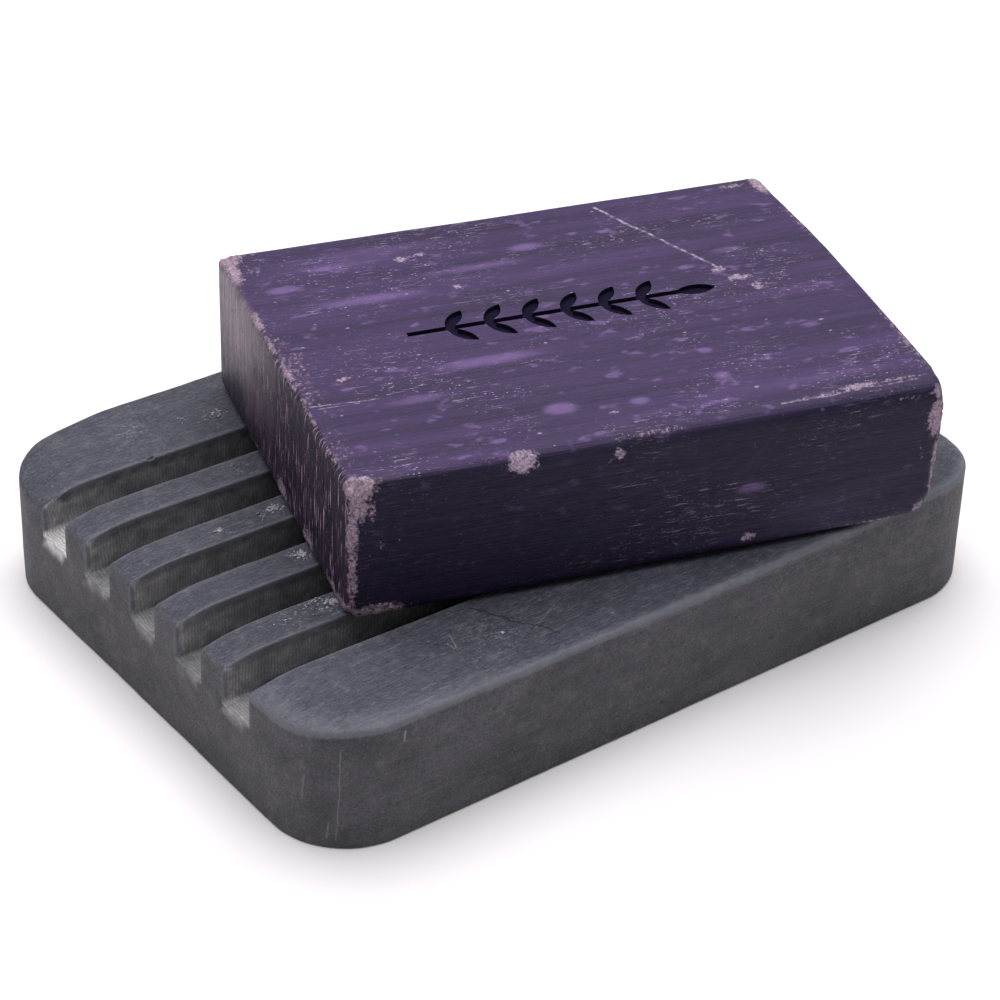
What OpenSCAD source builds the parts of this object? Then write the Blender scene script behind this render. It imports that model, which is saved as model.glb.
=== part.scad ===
// Shaving soap bar resting askew on a grooved stone dish.
// The origin is the middle of the dish's base. +X runs along the grooves,
// +Y across them to the back, and +Z up.

/* [Dish] */
// Length of the dish, along its grooves
dish_length = 121.8; // [95:0.1:180]
// Width of the dish, across its grooves
dish_width = 88.3; // [72:0.1:130]
// Height of the dish
dish_height = 20; // [16:0.5:32]
// Radius of the dish's four upright corners
corner_radius = 12.2; // [4:0.1:20]
// Size of the bevel along the bottom edge of each side
base_bevel = 0.5; // [0.2:0.1:1.5]
// Size of the worn bevel along the front and back top edges
top_bevel = 0.8; // [0.2:0.1:2.5]
// Length of the stretch at each end over which the top is rubbed down
end_ease_length = 8; // [3:0.5:12]
// How far the top falls over that stretch
end_ease_drop = 1.2; // [0.3:0.1:2]
// Length of the shallow hollow that the top is rubbed down to between its ends
hollow_length = 96; // [40:1:150]
// Depth of that hollow at its middle
hollow_depth = 0.6; // [0.2:0.1:1.5]

/* [Grooves] */
// Number of drainage grooves
groove_count = 5; // [2:1:5]
// Width of each groove
groove_width = 6.3; // [4.5:0.1:8]
// Distance from the middle of one groove to the middle of the next
groove_pitch = 12.1; // [10:0.1:13]
// Depth of each groove below the dish's top
groove_depth = 6.8; // [3:0.1:10]
// How far the row of grooves is set towards the back
groove_shift = 0.9; // [-2:0.1:2]

/* [Bar] */
// Length of the bar of soap
bar_length = 88; // [60:0.5:105]
// Width of the bar
bar_width = 65.3; // [45:0.1:78]
// Height of the bar
bar_height = 22.3; // [12:0.1:36]
// Radius along the bar's top edges
bar_top_radius = 2; // [0.5:0.1:4]
// Radius along the bar's bottom edges
bar_base_radius = 1; // [0.3:0.1:3]
// Radius of the bar's four upright edges
bar_corner_radius = 1.6; // [0.5:0.1:5]
// Angle of the bar to the grooves, clockwise from above
bar_turn = 17; // [-30:1:30]
// How far the bar's middle lies to the right of the dish's middle
bar_offset_x = 9.7; // [-12:0.1:12]
// How far the bar's middle lies in front of the dish's middle
bar_offset_front = 3.8; // [-8:0.1:8]
// Gap between the bar and the tops of the ridges that it rests on
bar_clearance = 0.1; // [0.05:0.05:0.3]

/* [Stamp] */
// Length of the lavender sprig pressed into the top of the bar
sprig_length = 48; // [25:1:54]
// Width of the sprig's stem
stem_width = 1.1; // [0.6:0.1:2]
// Number of pairs of leaves along the stem
leaf_pairs = 6; // [2:1:6]
// Length of each leaf
leaf_length = 5.6; // [3:0.1:8]
// Width of each leaf
leaf_width = 2.1; // [1:0.1:3]
// Angle of the leaves to the stem
leaf_angle = 50; // [30:1:70]
// Length of the bud at the tip
bud_length = 6.5; // [4:0.1:9]
// How deep the sprig is pressed in
stamp_depth = 0.7; // [0.3:0.1:1.5]
// How far the sprig is set from the bar's middle towards the back
stamp_shift = 2.4; // [-10:0.1:10]

/* [Hidden] */
$fn = 96;
// Cutters run this far past the faces that they cut
overrun = 1;
// Flats that make up the curve at each end of the top
EASE_STEPS = 6;
ease_start = dish_length / 2 - end_ease_length;
hollow_radius = (hollow_length * hollow_length / 4 + hollow_depth * hollow_depth)
    / (2 * hollow_depth);
// Enough sides for the hollow's very wide arc to stay within a few thousandths of true
HOLLOW_SIDES = 3600;
bar_base_z = dish_height + bar_clearance;
leaf_pitch = (sprig_length - bud_length) / (leaf_pairs + 1);

// Point i on the curve that the top follows at one end, counted from where it starts to fall.
function ease_point(i, side) =
    let (run = end_ease_length * i / EASE_STEPS)
    [side * (ease_start + run), dish_height - end_ease_drop * pow(run / end_ease_length, 2)];

// Rectangle from x = -w/2 to w/2 and y = 0 to h, with one radius on its top corners and
// another on its bottom corners.
module rounded_section(w, h, top_r, base_r) {
    difference() {
        translate([-w / 2, 0]) square([w, h]);
        for (side = [-1, 1]) {
            round_off(side * (w / 2 - top_r), h - top_r, top_r, side, 1);
            round_off(side * (w / 2 - base_r), base_r, base_r, side, -1);
        }
    }
}

// What is taken off a square corner to leave a radius r about the point [x, y].
// The signs sx and sy say which way the corner points.
module round_off(x, y, r, sx, sy) {
    translate([x, y]) difference() {
        translate([sx > 0 ? 0 : -r - overrun, sy > 0 ? 0 : -r - overrun]) square(r + overrun);
        circle(r);
    }
}

// Plan of a block with rounded upright corners, centred on the origin.
module rounded_plan(l, w, r) {
    translate([0, -w / 2]) rounded_section(l, w, r, r);
}

// The dish seen from the front: hollowed in the middle, and rubbed down in a curve at each end.
module dish_front_profile() {
    difference() {
        polygon(concat(
            [[dish_length / 2, 0]],
            [for (i = [EASE_STEPS : -1 : 0]) ease_point(i, 1)],
            [for (i = [0 : EASE_STEPS]) ease_point(i, -1)],
            [[-dish_length / 2, 0]]));
        for (side = [-1, 1]) corner_bevel(side * dish_length / 2, 0, base_bevel);
        translate([0, dish_height - hollow_depth + hollow_radius])
            circle(hollow_radius, $fn = HOLLOW_SIDES);
    }
}

// The dish seen from its end: a block with bevelled edges.
module dish_end_profile() {
    difference() {
        translate([-dish_width / 2, 0]) square([dish_width, dish_height]);
        for (side = [-1, 1]) {
            corner_bevel(side * dish_width / 2, 0, base_bevel);
            corner_bevel(side * dish_width / 2, dish_height, top_bevel);
        }
    }
}

// A square standing on its point at a corner takes off a bevel of the given size.
module corner_bevel(x, y, size) {
    translate([x, y]) rotate(45) square(size * sqrt(2), center = true);
}

// One groove, cut through from end to end of the dish.
module groove(y) {
    translate([-dish_length / 2 - overrun, y - groove_width / 2, dish_height - groove_depth])
        cube([dish_length + 2 * overrun, groove_width, groove_depth + overrun]);
}

// Stone dish with drainage grooves
module stone_dish() {
    color([0.28, 0.28, 0.31]) difference() {
        intersection() {
            linear_extrude(dish_height) rounded_plan(dish_length, dish_width, corner_radius);
            translate([0, dish_width / 2, 0]) rotate([90, 0, 0])
                linear_extrude(dish_width) dish_front_profile();
            translate([-dish_length / 2, 0, 0]) rotate([90, 0, 90])
                linear_extrude(dish_length) dish_end_profile();
        }
        for (i = [0 : groove_count - 1])
            groove(groove_shift + (i - (groove_count - 1) / 2) * groove_pitch);
    }
}

// Leaf shape: where two equal circles overlap, lying along +X from the origin.
module leaf(l, w) {
    r = (l * l + w * w) / (4 * w);
    translate([l / 2, 0]) intersection() {
        translate([0, r - w / 2]) circle(r);
        translate([0, w / 2 - r]) circle(r);
    }
}

// Outline of the sprig, with its stem along X.
module sprig() {
    translate([-sprig_length / 2, -stem_width / 2])
        square([sprig_length - bud_length / 2, stem_width]);
    translate([sprig_length / 2 - bud_length, 0]) leaf(bud_length, leaf_width * 1.3);
    for (i = [1 : leaf_pairs], side = [-1, 1])
        translate([-sprig_length / 2 + i * leaf_pitch, 0])
            rotate(side * leaf_angle) leaf(leaf_length, leaf_width);
}

// The bar square to the axes, with its base at the origin.
module square_bar() {
    difference() {
        intersection() {
            linear_extrude(bar_height) rounded_plan(bar_length, bar_width, bar_corner_radius);
            translate([0, bar_width / 2, 0]) rotate([90, 0, 0]) linear_extrude(bar_width)
                rounded_section(bar_length, bar_height, bar_top_radius, bar_base_radius);
            translate([-bar_length / 2, 0, 0]) rotate([90, 0, 90]) linear_extrude(bar_length)
                rounded_section(bar_width, bar_height, bar_top_radius, bar_base_radius);
        }
        translate([0, stamp_shift, bar_height - stamp_depth])
            linear_extrude(stamp_depth + overrun) sprig();
    }
}

// Bar of soap, turned on the dish
module soap_bar() {
    color([0.30, 0.24, 0.42])
        translate([bar_offset_x, -bar_offset_front, bar_base_z]) rotate(-bar_turn) square_bar();
}

stone_dish();
soap_bar();
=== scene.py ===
"""Looks for a hand-cut bar of shaving soap lying askew on a grooved slate dish.

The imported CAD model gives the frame: the dish's box, the bar's box and the lift joint.
Both pieces are modelled again here in millimetres with their wear, chips and pressed
sprig, brought down to metres, and dressed with node-based stone and soap finishes.
"""

import logging
import math
import random
from collections.abc import Callable, Iterable, Sequence
from dataclasses import dataclass
from enum import Enum
from functools import cached_property

import bmesh
import bpy
from mathutils import Matrix, Vector


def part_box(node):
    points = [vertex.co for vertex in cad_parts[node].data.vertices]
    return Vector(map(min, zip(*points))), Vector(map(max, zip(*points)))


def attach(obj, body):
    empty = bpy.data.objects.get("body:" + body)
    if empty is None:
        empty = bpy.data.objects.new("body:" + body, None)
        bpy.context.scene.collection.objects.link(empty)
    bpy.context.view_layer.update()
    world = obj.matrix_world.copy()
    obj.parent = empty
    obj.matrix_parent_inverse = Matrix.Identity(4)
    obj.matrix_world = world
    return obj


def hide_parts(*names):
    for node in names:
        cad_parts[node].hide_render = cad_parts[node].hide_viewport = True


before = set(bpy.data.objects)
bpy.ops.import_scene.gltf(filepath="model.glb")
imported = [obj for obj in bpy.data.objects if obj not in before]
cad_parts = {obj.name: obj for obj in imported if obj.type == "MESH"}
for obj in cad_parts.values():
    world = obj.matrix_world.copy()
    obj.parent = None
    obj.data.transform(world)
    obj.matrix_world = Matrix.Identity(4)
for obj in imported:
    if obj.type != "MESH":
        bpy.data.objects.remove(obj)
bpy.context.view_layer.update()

log = logging.getLogger("soap_and_dish")

Object = bpy.types.Object
Material = bpy.types.Material
Tree = bpy.types.NodeTree
Node = bpy.types.Node
Socket = bpy.types.NodeSocket

MM = 0.001
NEAR = 0.01  # millimetres within which two places count as one


class Body(str, Enum):
    """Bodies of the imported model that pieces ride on."""

    DISH = "dish"
    BAR = "bar"


class Slot(str, Enum):
    """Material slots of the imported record."""

    STONE = "stone"
    SOAP = "soap"


class Axis(Enum):
    """Directions that cutting planes stand across."""

    X = (1.0, 0.0, 0.0)
    Y = (0.0, 1.0, 0.0)
    Z = (0.0, 0.0, 1.0)


def smooth(low: float, high: float, value: float) -> float:
    """Eases from 0 at low to 1 at high.

    Args:
        low: Value at which the result leaves 0.
        high: Value at which the result reaches 1.
        value: The value to ease.

    Returns:
        A number from 0 to 1.
    """
    share = min(max((value - low) / (high - low), 0.0), 1.0)
    return share * share * (3.0 - 2.0 * share)


# --------------------------------------------------------------------------- mesh tools


class Bench:
    """Modelling steps done as by hand, on one active mesh object at a time."""

    @staticmethod
    def clear() -> None:
        """Leaves edit mode and deselects everything."""
        if bpy.context.object and bpy.context.object.mode != "OBJECT":
            bpy.ops.object.mode_set(mode="OBJECT")
        bpy.ops.object.select_all(action="DESELECT")

    @staticmethod
    def pick(obj: Object) -> None:
        """Makes one object the selected and active one."""
        Bench.clear()
        obj.select_set(True)
        bpy.context.view_layer.objects.active = obj

    @staticmethod
    def block(name: str, size: Vector, centre: Vector) -> Object:
        """Adds a box.

        Args:
            name: Name of the new object.
            size: Full sizes along X, Y and Z.
            centre: Where its middle goes.

        Returns:
            The box, with its size and place in its mesh.
        """
        Bench.clear()
        bpy.ops.mesh.primitive_cube_add(size=1.0, location=centre)
        obj = bpy.context.object
        obj.name = obj.data.name = name
        obj.scale = size
        bpy.ops.object.transform_apply(location=True, rotation=True, scale=True)
        return obj

    @staticmethod
    def pillar(name: str, radius: float, depth: float, centre: Vector) -> Object:
        """Adds an upright cylinder with its place in its mesh.

        Args:
            name: Name of the new object.
            radius: Radius of the cylinder.
            depth: Height of the cylinder.
            centre: Where its middle goes.

        Returns:
            The cylinder.
        """
        Bench.clear()
        bpy.ops.mesh.primitive_cylinder_add(vertices=96, radius=radius, depth=depth, location=centre)
        obj = bpy.context.object
        obj.name = name
        bpy.ops.object.transform_apply(location=True, rotation=True, scale=True)
        return obj

    @staticmethod
    def pebble(name: str, centre: Vector, radii: Vector, rough: float, detail: int = 3,
               grain: float = 1.2) -> Object:
        """Adds an irregular rounded lump, used to break chips out of an edge and as a crumb.

        Args:
            name: Name of the new object.
            centre: Where its middle goes.
            radii: Half sizes along X, Y and Z.
            rough: How far its surface is pushed in and out.
            detail: Subdivisions of the sphere that it starts as.
            grain: Size of the bumps that push it about.

        Returns:
            The lump, with its size and place in its mesh.
        """
        Bench.clear()
        bpy.ops.mesh.primitive_ico_sphere_add(subdivisions=detail, radius=1.0, location=centre)
        obj = bpy.context.object
        obj.name = name
        obj.scale = radii
        bpy.ops.object.transform_apply(location=True, rotation=True, scale=True)
        Bench.push(obj, grain, rough)
        return obj

    @staticmethod
    def edit_edges(obj: Object, wanted: Callable[[Vector, Vector], bool]) -> None:
        """Enters edit mode with only the wanted edges selected.

        Args:
            obj: The mesh object.
            wanted: Says of an edge's two ends whether the edge is wanted.
        """
        Bench.pick(obj)
        bpy.ops.object.mode_set(mode="EDIT")
        bpy.ops.mesh.select_mode(type="EDGE")
        bpy.ops.mesh.select_all(action="DESELECT")
        cage = bmesh.from_edit_mesh(obj.data)
        for edge in cage.edges:
            edge.select_set(wanted(edge.verts[0].co, edge.verts[1].co))
        bmesh.update_edit_mesh(obj.data)

    @staticmethod
    def bevel(obj: Object, width: float, segments: int,
              wanted: Callable[[Vector, Vector], bool]) -> None:
        """Rounds the wanted edges over.

        Args:
            obj: The mesh object.
            width: How far the rounding reaches from each edge.
            segments: Number of strips across the rounding.
            wanted: Says of an edge's two ends whether the edge is rounded.
        """
        Bench.edit_edges(obj, wanted)
        bpy.ops.mesh.bevel(offset=width, segments=segments, profile=0.5, affect="EDGES")
        bpy.ops.object.mode_set(mode="OBJECT")

    @staticmethod
    def slice_along(obj: Object, axis: Axis, places: Iterable[float]) -> None:
        """Cuts new edges round the mesh at planes across one axis, and takes nothing off.

        Args:
            obj: The mesh object.
            axis: Axis that the planes stand across.
            places: Where the planes cross that axis.
        """
        Bench.pick(obj)
        bpy.ops.object.mode_set(mode="EDIT")
        for place in places:
            bpy.ops.mesh.select_all(action="SELECT")
            plane = Vector(axis.value) * place
            bpy.ops.mesh.bisect(plane_co=plane, plane_no=axis.value, threshold=0.0005)
        bpy.ops.object.mode_set(mode="OBJECT")

    @staticmethod
    def apply(obj: Object, kind: str, **settings: object) -> None:
        """Adds a modifier, sets it and applies it.

        Args:
            obj: The mesh object.
            kind: Type of modifier.
            **settings: Values for the modifier's own properties.
        """
        Bench.pick(obj)
        modifier = obj.modifiers.new(kind.lower(), kind)
        for key, value in settings.items():
            setattr(modifier, key, value)
        bpy.ops.object.modifier_apply(modifier=modifier.name)

    @staticmethod
    def push(obj: Object, grain: float, reach: float, group: str = "", depth: int = 2) -> None:
        """Pushes the surface in and out along its normals by a cloudy pattern.

        Args:
            obj: The mesh object.
            grain: Size of the pattern's bumps.
            reach: Greatest distance between the pattern's lows and highs.
            group: Vertex group that says where it works, or nothing for all over.
            depth: Number of finer layers in the pattern.
        """
        clouds = bpy.data.textures.new(obj.name + "_clouds", "CLOUDS")
        clouds.noise_scale = grain
        clouds.noise_depth = depth
        Bench.apply(obj, "DISPLACE", texture=clouds, texture_coords="LOCAL", strength=reach,
                    mid_level=0.5, vertex_group=group)
        bpy.data.textures.remove(clouds)

    @staticmethod
    def keep_within(obj: Object, low: float, high: float) -> None:
        """Holds every vertex between two heights, so that flat undersides stay flat."""
        for vertex in obj.data.vertices:
            vertex.co.z = min(max(vertex.co.z, low), high)

    @staticmethod
    def combine(obj: Object, others: Sequence[Object], how: str) -> None:
        """Takes others away from obj, or keeps only what they share, and removes others.

        Args:
            obj: The mesh object that is kept.
            others: The mesh objects that are used up.
            how: DIFFERENCE, UNION or INTERSECT.
        """
        for other in others:
            Bench.apply(obj, "BOOLEAN", object=other, operation=how, solver="EXACT")
            bpy.data.objects.remove(other)

    @staticmethod
    def weigh(obj: Object, name: str, weight: Callable[[Vector], float]) -> None:
        """Makes a vertex group whose weights come from each vertex's place."""
        group = obj.vertex_groups.new(name=name)
        for vertex in obj.data.vertices:
            group.add([vertex.index], weight(vertex.co), "REPLACE")

    @staticmethod
    def paint(obj: Object, name: str, value: Callable[[Vector], float]) -> None:
        """Stores one number for each vertex, which a material reads by name."""
        layer = obj.data.attributes.new(name, "FLOAT", "POINT")
        layer.data.foreach_set("value", [value(vertex.co) for vertex in obj.data.vertices])

    @staticmethod
    def duplicate(obj: Object) -> Object:
        """Copies an object together with its mesh."""
        other = obj.copy()
        other.data = obj.data.copy()
        bpy.context.scene.collection.objects.link(other)
        return other

    @staticmethod
    def hand_over(obj: Object, place: Matrix, angle: float, material: Material, body: Body,
                  slot: Slot) -> None:
        """Moves a finished mesh to its place in metres, dresses it and sets it on its body.

        Args:
            obj: The mesh object.
            place: Where it goes, from its own millimetres to the frame's metres.
            angle: Edges sharper than this, in degrees, stay sharp.
            material: What it is dressed with.
            body: The body that it rides on.
            slot: Not used.
        """
        obj.data.transform(place)
        obj.vertex_groups.clear()
        Bench.pick(obj)
        bpy.ops.object.shade_smooth_by_angle(angle=math.radians(angle))
        obj.data.materials.append(material)
        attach(obj, body.value)


# ----------------------------------------------------------------------- material tools


class Board:
    """A node tree being wired, with short calls for the nodes that the finishes use."""

    def __init__(self, tree: Tree) -> None:
        """Starts from an empty tree."""
        self.tree = tree
        tree.nodes.clear()

    def add(self, kind: str, **settings: object) -> Node:
        """Adds a shader node by the last part of its type and sets its properties."""
        node = self.tree.nodes.new("ShaderNode" + kind)
        for key, value in settings.items():
            setattr(node, key, value)
        return node

    def feed(self, socket: Socket, source: object) -> None:
        """Links a socket to another one, or sets it to a plain value."""
        if isinstance(source, Socket):
            self.tree.links.new(source, socket)
        else:
            socket.default_value = source

    def wire(self, node: Node, *sources: object) -> Socket:
        """Feeds a node's inputs in order and returns its first output."""
        for socket, source in zip(node.inputs, sources):
            self.feed(socket, source)
        return node.outputs[0]

    def maths(self, operation: str, *values: object, clamp: bool = False) -> Socket:
        """Adds a Math node and returns its output."""
        return self.wire(self.add("Math", operation=operation, use_clamp=clamp), *values)

    def times(self, *values: object) -> Socket:
        """Multiplies two numbers and returns the product."""
        return self.maths("MULTIPLY", *values)

    def step(self, value: object, low: object, high: object, to_low: float = 0.0,
             to_high: float = 1.0) -> Socket:
        """Maps value smoothly from low..high to to_low..to_high and returns the output."""
        node = self.add("MapRange", interpolation_type="SMOOTHSTEP")
        return self.wire(node, value, low, high, to_low, to_high)

    def blend(self, share: object, first: object, second: object) -> Socket:
        """Mixes two colours by share and returns the colour."""
        node = self.add("Mix", data_type="RGBA")
        self.feed(node.inputs["Factor"], share)
        self.feed(node.inputs[6], first)
        self.feed(node.inputs[7], second)
        return node.outputs[2]

    def tint(self, colour: object, other: object, mask: object, strength: object) -> Socket:
        """Lays another colour where a mask is, as strongly as given, and returns the colour."""
        return self.blend(self.times(mask, strength), colour, other)

    def stretch(self, vector: object, scale: Sequence[float], turn: float = 0.0,
                shift: Sequence[float] = (0.0, 0.0, 0.0)) -> Socket:
        """Scales, turns about Z and shifts a vector, as a point, and returns it."""
        return self.wire(self.add("Mapping", vector_type="POINT"), vector, shift, (0.0, 0.0, turn), scale)

    def split(self, vector: Socket) -> list[Socket]:
        """Splits a vector into its X, Y and Z."""
        node = self.add("SeparateXYZ")
        self.feed(node.inputs[0], vector)
        return list(node.outputs)

    def join(self, *parts: Socket) -> Socket:
        """Makes a vector of its X, Y and Z and returns it."""
        return self.wire(self.add("CombineXYZ"), *parts)

    def clouds(self, vector: object, scale: object, detail: float = 3.0, rough: float = 0.6) -> Socket:
        """Adds a noise texture and returns its value."""
        node = self.add("TexNoise")
        for key, value in zip(("Vector", "Scale", "Detail", "Roughness"), (vector, scale, detail, rough)):
            self.feed(node.inputs[key], value)
        return node.outputs["Fac"]

    def stored(self, name: str) -> Socket:
        """Reads a number stored on the vertices."""
        return self.add("Attribute", attribute_name=name).outputs["Fac"]

    def upward(self, low: float) -> Socket:
        """Gives a mask of what faces up: 0 where the normal's Z is low, 1 where it is level."""
        return self.step(self.split(self.add("NewGeometry").outputs["Normal"])[2], low, 0.97)

    def bump(self, shader: Node, height: Socket, strength: float, distance: float) -> None:
        """Raises a shader's surface by a height.

        Args:
            shader: The Principled node.
            height: The height, from 0 to about 1.
            strength: How strongly the height shows.
            distance: What a height of 1 stands for, in metres.
        """
        node = self.add("Bump")
        for key, value in (("Strength", strength), ("Distance", distance), ("Height", height)):
            self.feed(node.inputs[key], value)
        self.feed(shader.inputs["Normal"], node.outputs[0])

    def place(self, group: Tree, vector: Socket, **values: object) -> Socket:
        """Places a shared effect with its own values and returns its mask.

        Args:
            group: The node group.
            vector: Coordinates, in metres.
            **values: Links or numbers by input name, with spaces as underscores.

        Returns:
            The mask.
        """
        node = self.add("Group", node_tree=group)
        self.feed(node.inputs["Vector"], vector)
        for key, value in values.items():
            self.feed(node.inputs[key.replace("_", " ")], value)
        return node.outputs[0]


class Effects:
    """Node groups that the finishes share, each built once."""

    def __init__(self) -> None:
        """Builds the groups."""
        self.streaks = self._streaks()
        self.flecks = self._flecks()
        self.ragged = self._ragged()
        self.mottle = self._mottle()
        self.hairline = self._hairline()

    @staticmethod
    def _start(name: str, **numbers: float) -> tuple[Board, bpy.types.NodeOutputs]:
        """Opens a group with a Vector input, number inputs and one Mask output.

        Args:
            name: Name of the group.
            **numbers: Default values by input name, with spaces as underscores.

        Returns:
            The board and the group's inputs, to link from.
        """
        tree = bpy.data.node_groups.new(name, "ShaderNodeTree")
        tree.interface.new_socket(name="Vector", in_out="INPUT", socket_type="NodeSocketVector")
        for key, value in numbers.items():
            label = key.replace("_", " ")
            socket = tree.interface.new_socket(name=label, in_out="INPUT", socket_type="NodeSocketFloat")
            socket.default_value = value
        tree.interface.new_socket(name="Mask", in_out="OUTPUT", socket_type="NodeSocketFloat")
        board = Board(tree)
        return board, tree.nodes.new("NodeGroupInput").outputs

    @staticmethod
    def _finish(board: Board, mask: Socket) -> Tree:
        """Links the mask out of a group and returns the group."""
        board.feed(board.tree.nodes.new("NodeGroupOutput").inputs["Mask"], mask)
        return board.tree

    @staticmethod
    def _streaks() -> Tree:
        """Thin marks along X that come and go. Along and Across are marks per metre."""
        board, given = Effects._start("streaks", Along=60.0, Across=3000.0, Fewest=0.55, Most=0.75)
        scale = board.join(given["Along"], given["Across"], given["Across"])
        vector = board.wire(board.add("VectorMath", operation="MULTIPLY"), given["Vector"], scale)
        return Effects._finish(board, board.step(board.clouds(vector, 1.0), given["Fewest"], given["Most"]))

    @staticmethod
    def _flecks() -> Tree:
        """Small separate dots of mixed size. Per Metre sets their spacing, Size their radius
        as a share of it, Kept the share of places that hold one and Soft their edge."""
        board, given = Effects._start("flecks", Per_Metre=800.0, Size=0.3, Kept=0.4, Soft=0.08)
        bend = board.clouds(given["Vector"], 2500.0, 2.0)
        cells = board.add("TexVoronoi", feature="F1")
        board.feed(cells.inputs["Vector"], given["Vector"])
        board.feed(cells.inputs["Scale"], given["Per Metre"])
        parts = board.add("SeparateColor")
        board.feed(parts.inputs[0], cells.outputs["Color"])
        radius = board.times(given["Size"], parts.outputs[0])
        radius = board.times(radius, board.maths("MULTIPLY_ADD", bend, 2.4, -0.2))
        inside = board.maths("SUBTRACT", radius, cells.outputs["Distance"])
        chosen = board.maths("LESS_THAN", parts.outputs[1], given["Kept"])
        return Effects._finish(board, board.times(board.step(inside, 0.0, given["Soft"]), chosen))

    @staticmethod
    def _ragged() -> Tree:
        """Gives a soft stored mask a torn edge. Per Metre sets the size of the tears."""
        board, given = Effects._start("ragged_edge", Soft=0.0, Per_Metre=900.0, Tear=0.8, Sharp=0.15)
        tears = board.clouds(given["Vector"], given["Per Metre"], 6.0, 0.72)
        torn = board.maths("MULTIPLY_ADD", board.maths("SUBTRACT", tears, 0.5), given["Tear"], given["Soft"])
        low = board.maths("SUBTRACT", 0.5, given["Sharp"])
        high = board.maths("ADD", 0.5, given["Sharp"])
        return Effects._finish(board, board.step(torn, low, high))

    @staticmethod
    def _mottle() -> Tree:
        """Cloudy light and dark. Per Metre sets the size of the clouds, and Spread how far
        the mask goes from 0.5."""
        board, given = Effects._start("mottle", Per_Metre=150.0, Spread=1.5)
        clouds = board.clouds(given["Vector"], given["Per Metre"], 5.0, 0.62)
        centred = board.maths("SUBTRACT", clouds, 0.5)
        return Effects._finish(
            board, board.maths("MULTIPLY_ADD", centred, given["Spread"], 0.5, clamp=True))

    @staticmethod
    def _hairline() -> Tree:
        """One thin wandering line that starts at the origin and runs Length along X. Width
        is half its thickness, Wobble how far it strays and Broken how much of it is missing."""
        board, given = Effects._start("hairline", Length=0.01, Width=0.0001, Wobble=0.0004, Broken=0.4)
        along, across, _ = board.split(given["Vector"])
        stray = board.maths("SUBTRACT", board.clouds(board.join(along), 220.0), 0.5)
        gap = board.maths("ABSOLUTE", board.maths("MULTIPLY_ADD", stray, given["Wobble"], across))
        thin = board.step(gap, board.times(given["Width"], 1.7), 0.0)
        begun = board.maths("GREATER_THAN", along, 0.0)
        ended = board.maths("LESS_THAN", along, given["Length"])
        worn = board.step(board.clouds(given["Vector"], 1500.0, 3.0, 0.7), 0.44, 0.60)
        kept = board.maths("MULTIPLY_ADD", board.maths("SUBTRACT", worn, 1.0), given["Broken"], 1.0)
        return Effects._finish(board, board.times(board.times(board.times(thin, begun), ended), kept))


@dataclass(frozen=True)
class Line:
    """A scratch or crack from one place to another, in millimetres.

    Attributes:
        start: Where it begins, in the plane that it lies in.
        end: Where it ends.
        width: Half its thickness.
        wobble: How far it strays from straight.
        broken: Share of it that is missing.
        strength: How much it changes the colour.
    """

    start: tuple[float, float]
    end: tuple[float, float]
    width: float
    wobble: float
    broken: float
    strength: float

    def draw(self, board: Board, effects: Effects, plane: Socket, colour: Socket, ink: object,
             zone: Socket) -> Socket:
        """Draws the line in a material.

        Args:
            board: The material's board.
            effects: The shared node groups.
            plane: Coordinates in metres, whose X and Y are the plane that it lies in.
            colour: The colour so far.
            ink: The colour that the line has.
            zone: Mask of the surface that it may show on.

        Returns:
            The colour with the line on it.
        """
        start, run = Vector(self.start) * MM, (Vector(self.end) - Vector(self.start)) * MM
        turn = -math.atan2(run.y, run.x)
        shift = -(Matrix.Rotation(turn, 2) @ start)
        vector = board.stretch(plane, (1.0, 1.0, 1.0), turn, (shift.x, shift.y, 0.0))
        mask = board.place(effects.hairline, vector, Length=run.length, Width=self.width * MM,
                           Wobble=self.wobble * MM, Broken=self.broken)
        return board.tint(colour, ink, board.times(mask, self.strength), zone)


def new_material(name: str, specular: float = 0.5) -> tuple[Material, Board, Node, Socket]:
    """Starts a material with a Principled shader.

    Args:
        name: Name of the material.
        specular: Specular level of the shader.

    Returns:
        The material, its board, the Principled node and the object coordinates.
    """
    material = bpy.data.materials.new(name)
    material.use_nodes = True
    board = Board(material.node_tree)
    shader = board.add("BsdfPrincipled")
    shader.inputs["Specular IOR Level"].default_value = specular
    board.feed(board.add("OutputMaterial").inputs["Surface"], shader.outputs["BSDF"])
    return material, board, shader, board.add("TexCoord").outputs["Object"]


# ------------------------------------------------------------------------------ finishes


Colour = tuple[float, float, float, float]


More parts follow.
